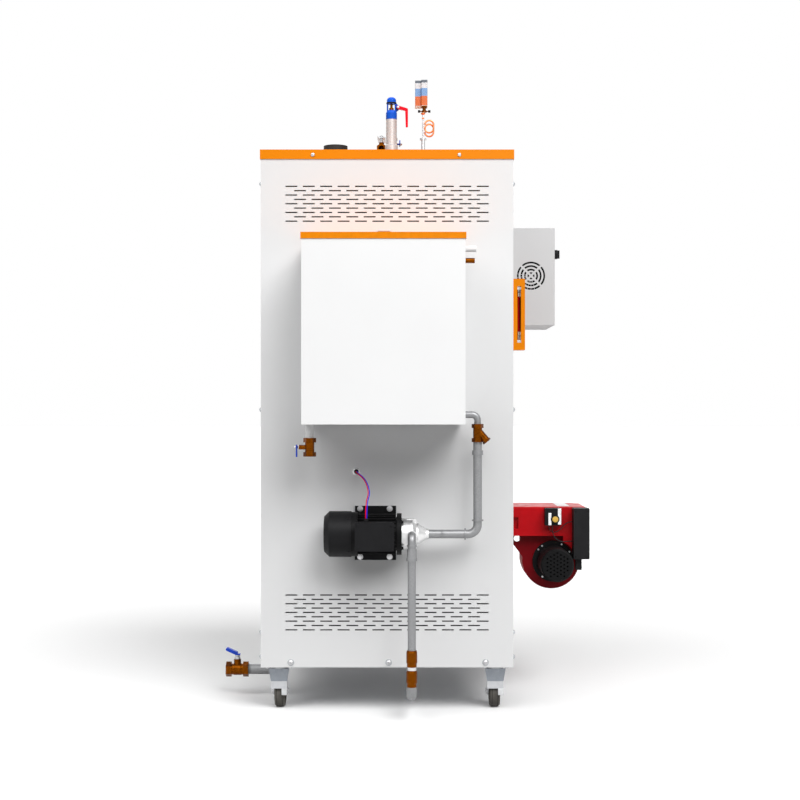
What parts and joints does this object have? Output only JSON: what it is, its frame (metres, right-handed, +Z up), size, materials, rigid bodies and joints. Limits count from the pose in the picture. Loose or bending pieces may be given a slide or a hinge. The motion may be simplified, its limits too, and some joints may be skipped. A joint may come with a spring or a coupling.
{
  "type": "industrial boiler",
  "caption": "Upright steam boiler in a sheet-steel cabinet on casters, with a side feed tank, feed pump and pressure-jet burner.",
  "frame": {"origin": "on the floor, under the middle of the whole machine's bounding box", "axes": "+Z up, +X toward the burner, +Y away from the side that carries the feed tank"},
  "size_m": [1.23, 1.2975, 2.112],
  "materials": {
    "white_sheet": "satin",
    "orange_sheet": "satin",
    "frame_steel": "matt",
    "vessel_jacket": "matt",
    "flue_black": "matt",
    "brass": "satin",
    "blue_grip": "gloss",
    "motor_black": "semi-gloss",
    "black_plastic": "matt",
    "cast_silver": "satin",
    "galvanised": "dull",
    "steel_bright": "satin",
    "wire_red": "gloss",
    "wire_blue": "gloss",
    "lead_black": "matt",
    "bonnet_blue": "gloss",
    "lever_red": "gloss",
    "copper": "bright",
    "controller_case": "gloss",
    "gauge_red": "gloss",
    "burner_red": "gloss",
    "tyre_grey": "matt"
  },
  "bodies": {
    "cabinet": {"base_frame": "frame_steel", "pump_side_panel": "white_sheet", "rear_panel": "white_sheet", "burner_side_panel": "white_sheet", "drain_side_panel": "white_sheet", "top_cover": "orange_sheet", "boiler_vessel": "vessel_jacket", "flue_outlet": "flue_black", "water_tank": "white_sheet", "tank_overflow": "brass", "tank_drain_valve": "brass", "pump_motor": "motor_black", "motor_fan_cover": "black_plastic", "terminal_box": "black_plastic", "pump_head": "cast_silver", "suction_cone": "cast_silver", "suction_pipes": "galvanised", "y_strainer": "brass", "discharge_pipes": "galvanised", "check_valves": "brass", "cable_grommet": "steel_bright", "wire_red": "wire_red", "wire_blue": "wire_blue", "safety_valve_body": "steel_bright", "safety_valve_bonnet": "bonnet_blue", "steam_valves": "brass", "gauge_standpipe": "galvanised", "siphon_coil": "copper", "gauge_manifold": "brass", "pressure_controllers": "controller_case", "control_box": "white_sheet", "level_gauge_guard": "orange_sheet", "level_gauge_cocks": "steel_bright", "level_gauge_glass": "gauge_red", "burner_housing": "burner_red", "burner_volute": "burner_red", "burner_motor": "motor_black", "burner_relay_box": "black_plastic", "burner_ignition_block": "black_plastic", "burner_lead_upper": "lead_black", "burner_lead_lower": "lead_black", "blowdown_pipe": "galvanised", "blowdown_valve": "brass", "caster_plates": "frame_steel"},
    "tank_lid": {"tank_lid": "orange_sheet"},
    "tank_drain_lever": {"tank_drain_lever": "blue_grip"},
    "steam_lever": {"steam_valve_lever": "steel_bright"},
    "vent_lever": {"vent_cock_lever": "blue_grip"},
    "safety_lever": {"safety_valve_lever": "lever_red"},
    "switch_knob": {"control_knob": "black_plastic"},
    "blowdown_lever": {"blowdown_lever": "blue_grip"},
    "fork_front_left": {"caster_fork_front_left": "frame_steel"},
    "wheel_front_left": {"caster_wheel_front_left": "tyre_grey"},
    "fork_front_right": {"caster_fork_front_right": "frame_steel"},
    "wheel_front_right": {"caster_wheel_front_right": "tyre_grey"},
    "fork_rear_left": {"caster_fork_rear_left": "frame_steel"},
    "wheel_rear_left": {"caster_wheel_rear_left": "tyre_grey"},
    "fork_rear_right": {"caster_fork_rear_right": "frame_steel"},
    "wheel_rear_right": {"caster_wheel_rear_right": "tyre_grey"}
  },
  "joints": [
    {"name": "tank_lid_lift", "type": "slide", "parent": "cabinet", "child": "tank_lid", "axis": [0, 0, 1], "range_m": [0, 0.12]},
    {"name": "tank_drain_turn", "type": "hinge", "parent": "cabinet", "child": "tank_drain_lever", "pos_m": [-0.343, -0.51225, 0.8455], "axis": [1, 0, 0], "range_deg": [-90, 0]},
    {"name": "steam_turn", "type": "hinge", "parent": "cabinet", "child": "steam_lever", "pos_m": [-0.096, 0.20775, 1.925], "axis": [0, 0, 1], "range_deg": [0, 90]},
    {"name": "vent_turn", "type": "hinge", "parent": "cabinet", "child": "vent_lever", "pos_m": [-0.039, 0.20375, 1.903], "axis": [1, 0, 0], "range_deg": [-90, 0]},
    {"name": "safety_lift", "type": "hinge", "parent": "cabinet", "child": "safety_lever", "pos_m": [-0.037, 0.13375, 2.02], "axis": [0, -1, 0], "range_deg": [0, 30]},
    {"name": "switch_turn", "type": "hinge", "parent": "cabinet", "child": "switch_knob", "pos_m": [0.497, 0.07375, 1.497], "axis": [1, 0, 0], "range_deg": [0, 90]},
    {"name": "blowdown_turn", "type": "hinge", "parent": "cabinet", "child": "blowdown_lever", "pos_m": [-0.5765, -0.08125, 0.137], "axis": [0, 0, 1], "range_deg": [0, 90]},
    {"name": "swivel_front_left", "type": "hinge", "parent": "cabinet", "child": "fork_front_left", "pos_m": [-0.417, -0.29625, 0.1317], "axis": [0, 0, 1], "continuous": true},
    {"name": "roll_front_left", "type": "hinge", "parent": "fork_front_left", "child": "wheel_front_left", "pos_m": [-0.417, -0.26125, 0.05], "axis": [1, 0, 0], "continuous": true},
    {"name": "swivel_front_right", "type": "hinge", "parent": "cabinet", "child": "fork_front_right", "pos_m": [0.275, -0.29625, 0.1317], "axis": [0, 0, 1], "continuous": true},
    {"name": "roll_front_right", "type": "hinge", "parent": "fork_front_right", "child": "wheel_front_right", "pos_m": [0.275, -0.26125, 0.05], "axis": [1, 0, 0], "continuous": true},
    {"name": "swivel_rear_left", "type": "hinge", "parent": "cabinet", "child": "fork_rear_left", "pos_m": [-0.417, 0.56375, 0.1317], "axis": [0, 0, 1], "continuous": true},
    {"name": "roll_rear_left", "type": "hinge", "parent": "fork_rear_left", "child": "wheel_rear_left", "pos_m": [-0.417, 0.59875, 0.05], "axis": [1, 0, 0], "continuous": true},
    {"name": "swivel_rear_right", "type": "hinge", "parent": "cabinet", "child": "fork_rear_right", "pos_m": [0.275, 0.56375, 0.1317], "axis": [0, 0, 1], "continuous": true},
    {"name": "roll_rear_right", "type": "hinge", "parent": "fork_rear_right", "child": "wheel_rear_right", "pos_m": [0.275, 0.59875, 0.05], "axis": [1, 0, 0], "continuous": true}
  ]
}
